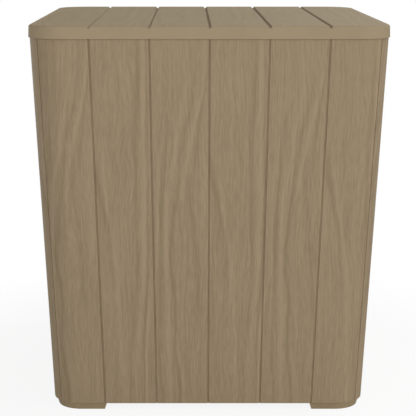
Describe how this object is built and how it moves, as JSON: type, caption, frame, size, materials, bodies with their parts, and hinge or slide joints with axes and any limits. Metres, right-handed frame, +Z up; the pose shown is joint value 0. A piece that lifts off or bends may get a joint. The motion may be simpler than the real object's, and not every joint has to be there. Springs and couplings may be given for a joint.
{
  "type": "cooler table",
  "caption": "Square tapered resin side table with plank-grooved walls and a hinged plank lid over an insulated cooler tub with a drain plug.",
  "frame": {"origin": "on the floor under the middle of the table", "axes": "+Z up, front of the table towards -Y, +X to the right seen from the front"},
  "size_m": [0.457, 0.457, 0.508],
  "materials": {
    "plank_resin": "moulded wood grain, matt",
    "lid_resin": "fine moulded texture, matt",
    "foot_resin": "fine moulded texture, matt",
    "frame_resin": "plain moulded, matt",
    "liner_plastic": "smooth, semi-gloss",
    "foam": "expanded bead foam",
    "seal_rubber": "matt",
    "drain_plastic": "satin",
    "hinge_plastic": "satin moulded",
    "steel": "bright zinc"
  },
  "bodies": {
    "cabinet": {"front_panel": "plank_resin", "right_panel": "plank_resin", "rear_panel": "plank_resin", "left_panel": "plank_resin", "foot_front_right": "foot_resin", "foot_rear_right": "foot_resin", "foot_rear_left": "foot_resin", "foot_front_left": "foot_resin", "corner_post_front_right": "frame_resin", "corner_post_rear_right": "frame_resin", "corner_post_rear_left": "frame_resin", "corner_post_front_left": "frame_resin", "base_tray": "frame_resin", "cooler_liner": "liner_plastic", "insulation_shell": "foam", "drain_gasket": "seal_rubber", "drain_spout": "drain_plastic", "drain_nut": "drain_plastic", "hinge_bracket_left": "hinge_plastic", "hinge_pin_left": "steel", "hinge_bracket_right": "hinge_plastic", "hinge_pin_right": "steel", "panel_screws": "steel", "base_screws": "steel", "foot_screws": "steel", "liner_screws": "steel", "hinge_bracket_screws": "steel"},
    "lid": {"lid_top": "lid_resin", "lid_liner": "liner_plastic", "lid_insulation": "foam", "lid_gasket": "seal_rubber", "lid_screws": "steel", "hinge_arm_left": "hinge_plastic", "hinge_arm_right": "hinge_plastic", "hinge_arm_screws": "steel"},
    "plug": {"drain_plug": "drain_plastic", "drain_plug_seal": "seal_rubber"}
  },
  "joints": [
    {"name": "lid_hinge", "type": "hinge", "parent": "cabinet", "child": "lid", "pos_m": [0, 0.2218, 0.4855], "axis": [-1, 0, 0], "range_deg": [0, 105]},
    {"name": "plug_pull", "type": "slide", "parent": "cabinet", "child": "plug", "axis": [0, 1, 0], "range_m": [0, 0.03]}
  ]
}
